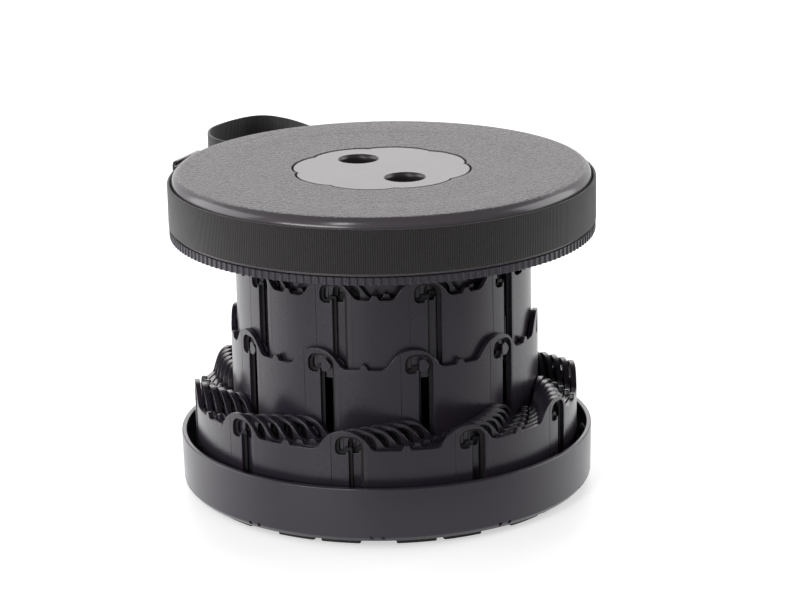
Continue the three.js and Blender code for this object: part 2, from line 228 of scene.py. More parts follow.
# %% [markdown]
# ## The finishes
# Everything rigid is moulded black plastic, and what tells the pieces apart is their texture:
# satin on the rings and the base, a fine leather grain on the seat, and a smoother face on the
# handle insert. Each plain finish mixes three noises: slow changes of tone, slow changes of gloss,
# and the fine texture of the mould. The webbing's ribs follow its length, so it reads a UV map.

# %% Helpers for the node materials
def start_finish(name, colour, roughness):
    finish = bpy.data.materials.new(name)
    finish.use_nodes = True
    finish.diffuse_color = (*colour, 1)
    shader = finish.node_tree.nodes["Principled BSDF"]
    shader.inputs["Roughness"].default_value = roughness
    return finish, finish.node_tree.nodes, finish.node_tree.links, shader


def ramp_between(nodes, links, source, low, high, start, end):
    """Low up to the source value start, high from the value end, and a straight ramp between."""
    ramp = nodes.new("ShaderNodeMapRange")
    ramp.inputs["From Min"].default_value = start
    ramp.inputs["From Max"].default_value = end
    ramp.inputs["To Min"].default_value = low
    ramp.inputs["To Max"].default_value = high
    links.new(source, ramp.inputs["Value"])
    return ramp.outputs["Result"]


def noise(nodes, links, place, scale, detail=3.0):
    texture = nodes.new("ShaderNodeTexNoise")
    texture.inputs["Scale"].default_value = scale
    texture.inputs["Detail"].default_value = detail
    links.new(place, texture.inputs["Vector"])
    return texture.outputs["Fac"]


def combine(nodes, links, operation, one, other):
    """A math node that takes two values and gives one."""
    node = nodes.new("ShaderNodeMath")
    node.operation = operation
    links.new(one, node.inputs[0])
    links.new(other, node.inputs[1])
    return node.outputs[0]


def times(nodes, links, one, other):
    return combine(nodes, links, "MULTIPLY", one, other)


def plus(nodes, links, one, other):
    return combine(nodes, links, "ADD", one, other)


def set_colour(nodes, links, shader, factor, low, high):
    """The base colour runs from low to high as the factor runs from 0 to 1."""
    tint = nodes.new("ShaderNodeMix")
    tint.data_type = "RGBA"
    tint.inputs["A"].default_value = (*low, 1)
    tint.inputs["B"].default_value = (*high, 1)
    links.new(factor, tint.inputs["Factor"])
    links.new(tint.outputs["Result"], shader.inputs["Base Color"])


def set_relief(nodes, links, shader, height, depth):
    bump = nodes.new("ShaderNodeBump")
    bump.inputs["Strength"].default_value = 1.0
    bump.inputs["Distance"].default_value = depth
    links.new(height, bump.inputs["Height"])
    links.new(bump.outputs["Normal"], shader.inputs["Normal"])


def scaled(colour, share):
    return [tone * share for tone in colour]


print("material helpers are ready")

# %% The moulded plastic finishes
cloud_scale, haze_scale = 22.0, 55.0


def moulded_plastic(name, colour, roughness, grain_scale, grain_depth, spread, haze_spread):
    """Plain plastic with a little cloud in its colour, haze in its gloss and a fine grain."""
    finish, nodes, links, shader = start_finish(name, colour, roughness)
    place = nodes.new("ShaderNodeTexCoord").outputs["Object"]
    cloud = ramp_between(nodes, links, noise(nodes, links, place, cloud_scale), 0, 1, 0.2, 0.8)
    set_colour(nodes, links, shader, cloud, scaled(colour, 1 - spread), scaled(colour, 1 + spread))
    haze = ramp_between(nodes, links, noise(nodes, links, place, haze_scale),
                        roughness - haze_spread, roughness + haze_spread, 0.2, 0.8)
    links.new(haze, shader.inputs["Roughness"])
    grain = noise(nodes, links, place, grain_scale, 2.0)
    set_relief(nodes, links, shader, grain, grain_depth)
    return finish


ring_finish = moulded_plastic("ring plastic", (0.0195, 0.0150, 0.0230), 0.28,
                              1500.0, 0.015 * mm, 0.06, 0.02)
base_finish = moulded_plastic("base plastic", (0.0235, 0.0190, 0.0285), 0.30,
                              1500.0, 0.015 * mm, 0.06, 0.02)
insert_finish = moulded_plastic("insert plastic", (0.038, 0.031, 0.033), 0.34,
                                1800.0, 0.006 * mm, 0.06, 0.01)
# The pocket finish is painted shade: a near-black, duller plastic for the ledges deep in the
# slots, where shade falls.
pocket_shade_finish = moulded_plastic("painted pocket shade", (0.004, 0.0035, 0.0045), 0.75,
                                900.0, 0.01 * mm, 0.12, 0.04)
rubber_finish = moulded_plastic("pad rubber", (0.012, 0.012, 0.012), 0.75,
                                900.0, 0.05 * mm, 0.12, 0.04)
print("plain finishes are ready")


# %% The seat's leather grain
def grained_plastic(name, colour, grained_out_to):
    """Pebbled like leather out to a radius, and smooth and glossier on the shoulder beyond it."""
    finish, nodes, links, shader = start_finish(name, colour, 0.5)
    place = nodes.new("ShaderNodeTexCoord").outputs["Object"]
    split = nodes.new("ShaderNodeSeparateXYZ")
    links.new(place, split.inputs["Vector"])
    flat = nodes.new("ShaderNodeCombineXYZ")
    links.new(split.outputs["X"], flat.inputs["X"])
    links.new(split.outputs["Y"], flat.inputs["Y"])
    length = nodes.new("ShaderNodeVectorMath")
    length.operation = "LENGTH"
    links.new(flat.outputs["Vector"], length.inputs[0])
    fade_from, fade_to = grained_out_to - 0.5 * mm, grained_out_to + 2.5 * mm
    grained = ramp_between(nodes, links, length.outputs["Value"], 1, 0, fade_from, fade_to)
    pebble = nodes.new("ShaderNodeTexVoronoi")
    pebble.feature = "SMOOTH_F1"
    pebble.inputs["Scale"].default_value = 640.0
    links.new(place, pebble.inputs["Vector"])
    fine = noise(nodes, links, place, 1500.0)
    both = plus(nodes, links, pebble.outputs["Distance"], fine)
    height = times(nodes, links, both, grained)
    set_relief(nodes, links, shader, height, 0.8 * mm)
    low, high = 0.5, 1.2
    gloss = nodes.new("ShaderNodeMix")
    gloss.inputs["A"].default_value = 0.2
    links.new(grained, gloss.inputs["Factor"])
    links.new(ramp_between(nodes, links, both, 0.24, 0.42, low, high), gloss.inputs["B"])
    links.new(gloss.outputs["Result"], shader.inputs["Roughness"])
    shade = ramp_between(nodes, links, height, 0, 1, low, high)
    set_colour(nodes, links, shader, shade, scaled(colour, 1.35), scaled(colour, 0.65))
    return finish


seat_finish = grained_plastic("seat plastic", (0.052, 0.046, 0.052), 118 * mm)
print("the seat's grain is ready")


# %% The strap's ribbed webbing
def webbing(name, colour, rib_pitch, thread_pitch):
    """Ribs that follow each other along u, and threads across v."""
    finish, nodes, links, shader = start_finish(name, colour, 0.85)
    shader.inputs["Sheen Weight"].default_value = 0.6
    shader.inputs["Sheen Roughness"].default_value = 0.35
    along = nodes.new("ShaderNodeUVMap")
    along.uv_map = "weave"
    split = nodes.new("ShaderNodeSeparateXYZ")
    links.new(along.outputs["UV"], split.inputs["Vector"])

    def wave(source, pitch):
        turn = nodes.new("ShaderNodeMath")
        turn.operation = "MULTIPLY"
        turn.inputs[1].default_value = 2 * math.pi / pitch
        links.new(source, turn.inputs[0])
        sine = nodes.new("ShaderNodeMath")
        sine.operation = "SINE"
        links.new(turn.outputs[0], sine.inputs[0])
        return ramp_between(nodes, links, sine.outputs[0], 0, 1, -1, 1)

    ribs = wave(split.outputs["X"], rib_pitch)
    threads = wave(split.outputs["Y"], thread_pitch)
    weave = nodes.new("ShaderNodeMath")
    weave.operation = "MULTIPLY_ADD"
    weave.inputs[1].default_value = 0.35
    links.new(threads, weave.inputs[0])
    links.new(ribs, weave.inputs[2])
    set_relief(nodes, links, shader, weave.outputs[0], 0.14 * mm)
    place = nodes.new("ShaderNodeTexCoord").outputs["Object"]
    fuzz = noise(nodes, links, place, 900.0)
    shade = times(nodes, links, ramp_between(nodes, links, ribs, 0.15, 1.0, 0, 1),
                  ramp_between(nodes, links, fuzz, 0.7, 1.3, 0.35, 0.65))
    # Painted shade: the near-black between the ribs stands for the shade in the grooves between
    # them. The fuzz adds the webbing's own random tone.
    shade_between_ribs = (0.002, 0.002, 0.002)
    set_colour(nodes, links, shader, shade, shade_between_ribs, colour)
    return finish


strap_width = 25.4 * mm
strap_finish = webbing("strap webbing", (0.025, 0.0215, 0.021), 1.3 * mm, 0.9 * mm)
print("the webbing is ready")

# %% [markdown]
# ## One period of a ring
# A ring repeats ten times round, so one tenth is cut from a flat plate. Its rim has a round hump
# over the slot and a small nub between two humps. The slot is hooked: a channel for the lug to
# slide in, and a pocket beside its top where the lug is turned in to lock. A narrower opening
# through the inner quarter of the wall leaves a ledge all round the slot.

# %% The ring's outlines
slots = 10
ring_height = 58.2 * mm
ring_wall = 3.0 * mm
ring_pitch = 3.83 * mm
outer_radius = 113.9 * mm
hump_height = 11.5 * mm
valley = ring_height - hump_height
nub_height = 2.8 * mm
pocket_depth = 0.75 * ring_wall
channel_side, lug_gap = 2.8 * mm, 0.6 * mm
first_turn = math.radians(-12.4)


def period_outline(half):
    """From the foot, up to the middle of one nub, over the hump and down to the next nub."""
    right = [
        (half, valley + nub_height, 0), (half - 1.2 * mm, valley + nub_height, 1.9 * mm),
        (half - 2.7 * mm, valley, 0.9 * mm), (16.6 * mm, valley, 5.0 * mm),
        (7.7 * mm, ring_height, 15.6 * mm),
    ]
    left = [(-across, up, radius) for across, up, radius in reversed(right)]
    return rounded([(-half, 0, 0), (half, 0, 0), *right, *left], steps=8)


def slot_outline(inset):
    """Inset is 0 at the outer face and the width of the ledge at the inner face."""
    left, step = -4.9 * mm + inset, 1.0 * mm - inset
    hook, right = channel_side + inset, 11.2 * mm - inset
    top, floor = 55.2 * mm - inset, 44.2 * mm + inset
    tongue, foot = 46.2 * mm + inset, 4.2 * mm + inset
    return rounded([
        (left, floor, 3.4 * mm - inset), (step, floor, 1.0 * mm),
        (step + 0.7 * mm, tongue, 0.5 * mm), (hook, tongue, 0.9 * mm),
        (hook, foot, 1.0 * mm), (right, foot, 1.0 * mm),
        (right, top, 6.8 * mm - inset), (left, top, 5.2 * mm - inset),
    ], steps=6)


print("outline points:", len(period_outline(30 * mm)), len(slot_outline(0)))


# %% Cut one period and split it into upright strips
def flat_period(name, radius, height, ledge):
    """A tenth of a ring, flat. A ledge of 0 stands for a plain wall with a level rim."""
    half = math.pi * radius / slots
    level = [(-half, 0), (half, 0), (half, height), (-half, height)]
    panel = plate(name, period_outline(half) if ledge else level, 0, ring_wall)
    if ledge:
        cut_away(panel, plate("wide slot", slot_outline(0), -mm, pocket_depth))
        cut_away(panel, plate("narrow slot", slot_outline(ledge), 0, ring_wall + mm))
    ends = [face.index for face in panel.data.polygons if abs(face.normal.x) > 0.99
            and abs(abs(face.center.x) - half) < 0.01 * mm]
    delete_faces(panel, ends)
    round_edges(panel, 0.4 * mm, 2)
    split_upright(panel, half)
    return panel


def split_upright(panel, half, strip=2.4 * mm):
    """Cuts that let the flat plate follow the circle when it is bent."""
    take(panel)
    bpy.ops.object.mode_set(mode="EDIT")
    cuts = [number * strip for number in range(-int(half / strip), int(half / strip) + 1)]
    for across in sorted([*cuts, *crease_cuts]):
        bpy.ops.mesh.select_all(action="SELECT")
        bpy.ops.mesh.bisect(plane_co=(across, 0, 0), plane_no=(1, 0, 0), threshold=0.001 * mm)
    bpy.ops.object.mode_set(mode="OBJECT")


crease_at = -7.4 * mm
crease_width = 0.55 * mm
crease_depth = 0.22 * mm
swell_from, swell_to = 11.9 * mm, 15.3 * mm
swell_height = 0.14 * mm
crease_cuts = [crease_at - crease_width / 2, crease_at, crease_at + crease_width / 2,
               swell_from, (swell_from + swell_to) / 2, swell_to]
print("crease cuts at", [round(cut / mm, 2) for cut in crease_cuts])


# %% Bend ten periods round the axis
def bend_round(piece, radius, turn, foot):
    """Wraps a flat piece round the stool: y is the depth below the ring's outer face."""
    for corner in piece.data.vertices:
        angle = turn + corner.co.x / radius
        x, y = on_circle(radius - corner.co.y, angle)
        corner.co = (x, y, foot + corner.co.z)


def press_creases(panel):
    """The mould's joint line left of the slot, and a slight swell right of it."""
    middle = (swell_from + swell_to) / 2
    for corner in panel.data.vertices:
        if corner.co.y > 0.05 * mm:
            continue
        if abs(corner.co.x - crease_at) < 0.01 * mm:
            corner.co.y += crease_depth
        if abs(corner.co.x - middle) < 0.01 * mm:
            corner.co.y -= swell_height


def wrap_ring(panel, radius, turn, foot):
    repeat(panel, slots, 2 * math.pi * radius / slots)
    bend_round(panel, radius, turn, foot)
    face_outwards(panel)


print("one period is", round(2 * math.pi * outer_radius / slots / mm, 1), "mm long at most")

# %% [markdown]
# ## The lugs
# Near its foot each ring has ten lugs that run in the slots of the ring outside it. A lug has a
# leaf-shaped head, which runs in the wide outer part of the slot, on a narrower neck.

# %% Model one lug and copy it ten times
lug_low = 4.5 * mm
lug_middle = -0.6 * mm
lug_width, lug_height = 5.6 * mm, 7.9 * mm
lug_reach = 3.4 * mm
head_thickness = 0.95 * mm
neck_margin = 1.7 * mm
lug_corners = [(-0.5, 0.0, 1.3), (0.16, 0.0, 1.6), (0.5, 0.3, 1.4), (0.5, 0.55, 1.2),
               (-0.1, 1.0, 1.3), (-0.5, 0.8, 1.2)]


def lug_outline(margin):
    """The leaf, or a smaller one inside it. Its corners are shares of its width and height."""
    width, height = lug_width - 2 * margin, lug_height - 2 * margin
    sharpen = 1 if margin == 0 else 0.5
    return rounded([
        (lug_middle + side * width, lug_low + lug_height / 2 + (up - 0.5) * height,
         radius * mm * sharpen)
        for side, up, radius in lug_corners
    ], steps=4)


def make_lugs(radius, turn, foot):
    head = plate("lug head", lug_outline(0), -lug_reach, -lug_reach + head_thickness)
    round_edges(head, 0.3 * mm, 2)
    neck = plate("lug neck", lug_outline(neck_margin),
                 -lug_reach + head_thickness - 0.05 * mm, 0.4 * mm)
    lug = join([head, neck])
    lugs = []
    for number in range(slots):
        copy = lug.copy()
        copy.data = lug.data.copy()
        bpy.context.collection.objects.link(copy)
        bend_round(copy, radius, turn + 2 * math.pi * number / slots, foot)
        lugs.append(copy)
    bpy.data.objects.remove(lug)
    return lugs


print("lug outline points:", len(lug_outline(0)))

# %% Painted shade on the ledges deep in the slots
pocket_shade_from, pocket_shade_to = 0.6 * ring_wall, 0.95 * ring_wall


def shade_pockets(ring, radius):
    """Paints shade on the ledges deep in the slots: a darker and duller finish than the ring's
    own.
    """
    ring.data.materials.append(pocket_shade_finish)
    for face in ring.data.polygons:
        depth = radius - math.hypot(face.center.x, face.center.y)
        if pocket_shade_from < depth < pocket_shade_to and abs(face.normal.z) < 0.5:
            face.material_index = 1


print("darker between", [round(depth / mm, 2) for depth in (pocket_shade_from, pocket_shade_to)],
      "mm below the face")

# %% Make the nine rings
ledge, last_ledge = 1.75 * mm, 2.7 * mm
lug_stand = channel_side + lug_gap + lug_width / 2


def dress(piece, finish, slot, body, *nodes):
    piece.data.materials.clear()
    piece.data.materials.append(finish)
    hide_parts(*nodes)
    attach(piece, body)


radius, turn = outer_radius, first_turn
for number in range(1, 10):
    node = f"ring_{number}"
    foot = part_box(node)[0][2]
    panel = flat_period(f"slotted_ring_{number}", radius, ring_height,
                        last_ledge if number == 9 else ledge)
    press_creases(panel)
    wrap_ring(panel, radius, turn, foot)
    lugs = make_lugs(radius, turn, foot)
    ring = join([panel, *lugs])
    smooth(ring, by_area=True)
    dress(ring, ring_finish, "ring", "base" if number == 1 else node, node)
    # Painted shade on the ledges deep in the slots
    shade_pockets(ring, radius)
    print(node, "radius", round(radius / mm, 2), "faces", len(ring.data.polygons))
    turn += lug_stand / radius
    radius -= ring_pitch
    turn -= lug_middle / radius

# %% [markdown]
# ## The seat's tube
# The innermost tube has a level rim under the seat panel, with an inward flange for its screws.

# %% Tube, flange and screws
tube_low, tube_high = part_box("seat_tube")[0][2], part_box("seat_tube")[1][2]
tube = flat_period("seat_column", radius, tube_high - tube_low, 0)
wrap_ring(tube, radius, turn, tube_low)
flange_reach, flange_thickness = 12 * mm, 3 * mm
screw_circle = radius - ring_wall - flange_reach / 2
flange_inner, flange_outer = radius - ring_wall - flange_reach, radius - ring_wall + 0.5 * mm
flange = turned("tube flange", [
    (flange_inner, tube_high - flange_thickness), (flange_outer, tube_high - flange_thickness),
    (flange_outer, tube_high), (flange_inner, tube_high),
], 90)
column = join([tube, flange, *make_lugs(radius, turn, tube_low)])
smooth(column, by_area=True)
dress(column, ring_finish, "ring", "seat", "seat_tube")
print("tube faces", len(column.data.polygons))

# %% [markdown]
# ## The base dish
# The dish is a turned piece: a floor, a low wall with a rounded lower edge and a middle boss. Ten
# snap hooks inside the wall hold the outermost ring down by its lugs, and pairs of small notches
# are let into the wall's lower edge between the foot pads.

# %% Turn the dish
dish_radius, dish_wall, dish_height = 122.5 * mm, 3 * mm, 36 * mm
floor_under, floor_top = 4 * mm, 8.4 * mm
boss_radius = 20 * mm
dish = turned("base_shell", round_profile([
    (0, 0, 0), (boss_radius, 0, 0.8 * mm), (boss_radius, floor_under, 0.8 * mm),
    (dish_radius - 3.0 * mm, floor_under, 0.4 * mm),
    (dish_radius - 0.5 * mm, floor_under + 2.8 * mm, 2.2 * mm),
    (dish_radius, dish_height, 0.9 * mm), (dish_radius - dish_wall, dish_height, 0.9 * mm),
    (dish_radius - dish_wall, floor_top, 1.0 * mm), (0, floor_top, 0),
], 6), 180)
print("dish faces", len(dish.data.polygons))

# %% Notches and hooks
notch_width, notch_height, notch_depth = 2.1 * mm, 2.2 * mm, 2.2 * mm
# Degrees from the front towards the right
notch_turn, notch_apart, slot_step = -3, 3, 360 / slots
notches = []
for number in range(slots):
    for side in (-notch_apart / 2, notch_apart / 2):
        bpy.ops.mesh.primitive_cube_add(size=1)
        notch = bpy.context.object
        angle = math.radians(notch_turn + slot_step * number + side)
        notch.data.transform(Matrix.Diagonal((notch_width, 2 * notch_depth, notch_height, 1)))
        notch.data.transform(Matrix.Translation((0, 0.3 * mm - dish_radius,
                                                 floor_under + 2.6 * mm)))
        notch.data.transform(Matrix.Rotation(angle, 4, "Z"))
        notches.append(notch)
cut_away(dish, join(notches))
hook_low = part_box("ring_1")[0][2] + lug_low + lug_height + 0.3 * mm
hook_width, hook_height = 9 * mm, 5 * mm
lug_end = outer_radius + lug_reach
wall_inside = dish_radius - dish_wall
hooks = []
for number in range(slots):
    hook = plate("hook", [
        (lug_end - 1.3 * mm, hook_low), (wall_inside + 1.0 * mm, hook_low),
        (wall_inside + 1.0 * mm, hook_low + hook_height),
        (wall_inside - 0.3 * mm, hook_low + hook_height),
    ], -hook_width / 2, hook_width / 2)
    round_edges(hook, 0.3 * mm, 2)
    angle = first_turn + lug_middle / outer_radius + 2 * math.pi * number / slots
    hook.data.transform(Matrix.Rotation(angle - math.pi / 2, 4, "Z"))
    hooks.append(hook)
dish = join([dish, *hooks])
smooth(dish, 30)
dress(dish, base_finish, "base", "base", "base_dish")
print("notches:", len(notches), "hooks:", len(hooks))

# %% [markdown]
# ## Foot pads
# Twenty rubber pads sit in pairs under the dish. One is drawn flat, its edges are rounded, and
# copies of it are bent to their places.

# %% Model one pad and copy it
pad_outer, pad_width, pad_length, pad_gap = 113.8 * mm, 11 * mm, 23.4 * mm, 4.2 * mm
pad_thickness = 3.7 * mm
pads, pad_turn = 20, -21    # the turn is in degrees, as above


def pad_at(number):
    pair, side = number // 2, number % 2 - 0.5
    pad = plate(f"rubber_pad_{number + 1}", rounded([
        (-pad_length / 2, 0, 1.2 * mm), (pad_length / 2, 0, 1.2 * mm),
        (pad_length / 2, pad_width, 1.2 * mm), (-pad_length / 2, pad_width, 1.2 * mm),
    ], 3), 0, pad_thickness)
    lay_flat(pad)
    round_edges(pad, 0.5 * mm, 2)
    split_upright(pad, pad_length / 2, 5 * mm)
    angle = math.radians(pad_turn + slot_step * pair) + side * (pad_length + pad_gap) / pad_outer
    bend_round(pad, pad_outer, angle, 0)
    return pad


low_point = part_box("foot_pad_1")[0][2]
for number in range(pads):
    pad = pad_at(number)
    lowest = min(corner.co.z for corner in pad.data.vertices)
    pad.data.transform(Matrix.Translation((0, 0, low_point - lowest)))
    smooth(pad)
    dress(pad, rubber_finish, "rubber", "base", f"foot_pad_{number + 1}")
print("pads made:", pads)

# %% [markdown]
# ## The seat
# The seat is one turned shell: a slightly dished top, a rounded shoulder, the skirt that the strap
# lies round and a spigot for the grip ring. Its middle is cut out to the lobed outline of the
# handle insert.

# %% Turn the seat and cut its opening
seat_low, seat_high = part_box("seat_shell")[0][2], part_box("seat_shell")[1][2]
under = seat_high - 3.3 * mm
strap_top = seat_high - 5.5 * mm
skirt_foot = seat_low + 2.7 * mm
skirt, skirt_inside, spigot = 123.6 * mm, 120.4 * mm, 121.6 * mm
shoulder_from = 118 * mm
shoulder_foot, shoulder_reach = strap_top - 0.6 * mm, 122.9 * mm
shoulder_steps = 14
shoulder = []
for step in range(shoulder_steps + 1):
    angle = math.pi / 2 * step / shoulder_steps
    shoulder.append((shoulder_from + (shoulder_reach - shoulder_from) * math.sin(angle),
                     shoulder_foot + (seat_high - shoulder_foot) * math.cos(angle)))
shoulder.append((skirt, shoulder_foot - 2 * mm))
middle_sink = 0.9
dish_rings = [(112, 0.02), (104, 0.1), (92.4, 0.22), (90.8, 0.4), (84, 0.5), (70, 0.75),
              (58, middle_sink), (54, middle_sink), (44, middle_sink)]
seat = turned("seat_panel", [
    (spigot, seat_low), (spigot, skirt_foot), (skirt, skirt_foot), *reversed(shoulder),
    *[(reach * mm, seat_high - sink * mm) for reach, sink in dish_rings],
    (dish_rings[-1][0] * mm, under), (skirt_inside, under), (skirt_inside, seat_low),
], 192)
print("seat faces", len(seat.data.polygons))

# %% The lobed outline of the insert
lobes, cusp_radius, lobe_rise = 8, 49.5 * mm, 3.1 * mm
lobe_turn = math.radians(8.6)
lobe_fullness = 0.6


def lobed(grow):
    """Eight shallow lobes that meet in soft cusps."""
    outline = []
    steps = 12
    for number in range(lobes * steps):
        share = number % steps / steps
        reach = cusp_radius + grow + lobe_rise * math.sin(math.pi * share) ** lobe_fullness
        outline.append(Vector(on_circle(reach, lobe_turn + 2 * math.pi * number / lobes / steps)))
    return outline


opening = plate("opening", lobed(0.7 * mm), under - mm, seat_high + mm)
lay_flat(opening)
cut_away(seat, opening)
print("opening spans", round(2 * (cusp_radius + lobe_rise) / mm, 1), "mm")

# %% Soften the opening's upper edge
def edges_at(piece, height, near):
    """Edges that lie level at a height and whose two ends both pass the test."""
    ends = piece.data.vertices
    return [edge.index for edge in piece.data.edges
            if all(abs(ends[end].co.z - height) < 0.02 * mm and near(ends[end].co.xy)
                   for end in edge.vertices)]


def bevel_edges(piece, indices, width, segments):
    take(piece)
    bpy.ops.object.mode_set(mode="EDIT")
    bpy.ops.mesh.select_mode(type="EDGE")
    bpy.ops.mesh.select_all(action="DESELECT")
    bpy.ops.object.mode_set(mode="OBJECT")
    for index in indices:
        piece.data.edges[index].select = True
    bpy.ops.object.mode_set(mode="EDIT")
    bpy.ops.mesh.bevel(offset=width, segments=segments, affect="EDGES", clamp_overlap=True)
    bpy.ops.mesh.select_mode(type="VERT")
    bpy.ops.object.mode_set(mode="OBJECT")


rim = edges_at(seat, seat_high - middle_sink * mm, lambda spot: spot.length < 53.5 * mm)
bevel_edges(seat, rim, 0.6 * mm, 3)
smooth(seat, 32)
dress(seat, seat_finish, "seat", "seat", "seat_shell")
print("rim edges softened:", len(rim))

# %% [markdown]
# ## The handle insert
# The lobed plug fills the seat's opening from below. Two finger holes with flared mouths go
# through it, each in its own short tube.

# %% Plug, flange and finger tubes
plug_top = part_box("handle_insert")[1][2]
tube_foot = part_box("handle_insert")[0][2]
flange_low, flange_high = under - 3.0 * mm, under - 0.3 * mm
finger_radius, finger_wall, finger_spread = 11 * mm, 2.4 * mm, 27.3 * mm
finger_turn = math.radians(29.6)
plug_flange = 56.3 * mm
plug = plate("handle_plug", lobed(-0.3 * mm), flange_low, plug_top)
lay_flat(plug)
fuse(plug, turned("plug flange", [(0, flange_low), (plug_flange, flange_low),
                                  (plug_flange, flange_high), (0, flange_high)], 120))
finger_places = [Vector(on_circle(finger_spread, finger_turn + side)) for side in (0, math.pi)]


def post(name, place, radius, low, high, sides=64):
    bpy.ops.object.select_all(action="DESELECT")
    bpy.ops.mesh.primitive_cylinder_add(vertices=sides, radius=radius, depth=high - low)
    piece = bpy.context.object
    piece.name = name
    piece.data.transform(Matrix.Translation((place.x, place.y, (low + high) / 2)))
    return piece


for place in finger_places:
    fuse(plug, post("finger tube", place, finger_radius + finger_wall, tube_foot, flange_high))
mouth, mouth_arc, mouth_steps = 3.4 * mm, math.radians(50), 8
flare = []
for step in range(mouth_steps + 1):
    angle = mouth_arc * step / mouth_steps
    flare.append((finger_radius + mouth * (1 - math.cos(angle)),
                  plug_top + mouth * (math.sin(angle) - math.sin(mouth_arc))))
for place in finger_places:
    bore = turned("finger bore", [(0, tube_foot - mm), (finger_radius, tube_foot - mm), *flare,
                                  (flare[-1][0], plug_top + mm), (0, plug_top + mm)], 72)
    bore.data.transform(Matrix.Translation((place.x, place.y, 0)))
    cut_away(plug, bore)
print("plug faces", len(plug.data.polygons))


# %% Round the outline and the tubes' feet
def on_outline(spot):
    return spot.length > cusp_radius - 0.6 * mm


def on_bore(spot):
    return any(abs((spot - place).length - finger_radius) < 0.1 * mm for place in finger_places)


bevel_edges(plug, edges_at(plug, plug_top, on_outline), 0.7 * mm, 3)
bevel_edges(plug, edges_at(plug, tube_foot, on_bore), 0.5 * mm, 2)
face_outwards(plug)
smooth(plug, 35, by_area=True)
dress(plug, insert_finish, "insert", "seat", "handle_insert")
print("insert faces", len(plug.data.polygons))

# %% [markdown]
# ## The grip ring
# A ring of 180 fine upright ribs clips under the strap. One rib is a small plate with a level
# band beside it, and an array repeats it round the seat. A ledge inside the ring's foot carries
# the seat's spigot.

# %% One rib, repeated
grip_low, grip_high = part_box("grip_ring")[0][2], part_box("grip_ring")[1][2]
ribs = 180
grip_radius, grip_wall = 125.2 * mm, 2.8 * mm
rib_step = 2 * math.pi * grip_radius / ribs
rib_low = 0.7 * mm
rib = plate("ribbed_ring", rounded([
    (0, rib_low, 0), (1.15 * mm, rib_low, 0.3 * mm), (1.65 * mm, 0, 0.35 * mm),
    (rib_step - 1.65 * mm, 0, 0.35 * mm), (rib_step - 1.15 * mm, rib_low, 0.3 * mm),
    (rib_step, rib_low, 0), (rib_step, grip_wall, 0), (0, grip_wall, 0),
], 3), grip_low, grip_high)
lay_flat(rib)
rib_ends = [face.index for face in rib.data.polygons if abs(face.normal.x) > 0.99
            and min(abs(face.center.x), abs(face.center.x - rib_step)) < 0.01 * mm]
delete_faces(rib, rib_ends)
round_edges(rib, 0.3 * mm, 1, 60)
repeat(rib, ribs, rib_step)
bend_round(rib, grip_radius, 0, 0)
face_outwards(rib)
ledge_inner, ledge_outer = grip_radius - grip_wall - 2.6 * mm, grip_radius - grip_wall + 0.4 * mm
ledge_top = grip_low + 2 * mm
grip_ledge = turned("grip ledge", [
    (ledge_inner, grip_low), (ledge_outer, grip_low),
    (ledge_outer, ledge_top), (ledge_inner, ledge_top),
], 180)
rib = join([rib, grip_ledge])
smooth(rib, 30)
dress(rib, base_finish, "base", "seat", "grip_ring")
print("grip ring faces", len(rib.data.polygons))

# %% [markdown]
# ## The strap
# Flat webbing is modelled directly, as a ribbon with rounded edges. Its UV map measures real
# lengths along and across it, so that the woven ribs keep one size on the band and on the loop.

# %% The band round the seat
strap_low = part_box("strap_band")[0][2]
band_inner, band_outer = 123.9 * mm, 125.5 * mm
band = turned("strap_round", round_profile([
    (band_inner, strap_low, 0.5 * mm), (band_outer, strap_low, 0.6 * mm),
    (band_outer, strap_low + strap_width, 0.6 * mm),
    (band_inner, strap_low + strap_width, 0.5 * mm),
], 3), 240)
weave = band.data.uv_layers.new(name="weave")
for face in band.data.polygons:
    middle = math.atan2(face.center.x, -face.center.y)
    for corner in face.loop_indices:
        spot = band.data.vertices[band.data.loops[corner].vertex_index].co
        angle = math.atan2(spot.x, -spot.y)
        angle += 2 * math.pi * round((middle - angle) / (2 * math.pi))
        weave.data[corner].uv = (angle * band_outer, spot.z - strap_low)
smooth(band, 40)
dress(band, strap_finish, "strap", "seat", "strap_band")
print("band faces", len(band.data.polygons))

# %% The carry loop
loop_reach = 57.6 * mm
loop_start, loop_span = math.radians(-104), math.radians(-72)
strap_thickness = 1.6 * mm
loop_shares = [
    (0, 0), (0.12, 0), (0.25, 0), (0.35, 0), (0.4, 0.01), (0.421, 0.045), (0.4285, 0.11),
    (0.433, 0.293), (0.449, 0.449), (0.4635, 0.541), (0.484, 0.637), (0.511, 0.736),
    (0.5445, 0.818), (0.592, 0.9), (0.632, 0.954), (0.675, 1), (0.707, 0.997), (0.736, 0.918),
    (0.754, 0.796), (0.771, 0.646), (0.786, 0.459), (0.806, 0.193), (0.823, 0.045), (0.85, 0),
    (0.92, 0), (1, 0),
]
lie = band_outer + 0.3 * mm + strap_thickness / 2
route = [Vector(on_circle(lie + out * loop_reach, loop_start + along * loop_span))
         for along, out in loop_shares]


def smooth_route(points, steps=8):
    """A curve through all the points, whose knots are spaced by the root of their distance."""
    ends = [2 * points[0] - points[1], *points, 2 * points[-1] - points[-2]]
    path = []
    for a, b, c, d in zip(ends, ends[1:], ends[2:], ends[3:]):
        knots = [0]
        for start, end in ((a, b), (b, c), (c, d)):
            knots.append(knots[-1] + (end - start).length ** 0.5)
        t0, t1, t2, t3 = knots
        for step in range(steps):
            t = t1 + (t2 - t1) * step / steps
            ab = a.lerp(b, (t - t0) / (t1 - t0))
            bc = b.lerp(c, (t - t1) / (t2 - t1))
            cd = c.lerp(d, (t - t2) / (t3 - t2))
            left = ab.lerp(bc, (t - t0) / (t2 - t0))
            right = bc.lerp(cd, (t - t1) / (t3 - t1))
            path.append(left.lerp(right, (t - t1) / (t2 - t1)))
    return [*path, points[-1]]


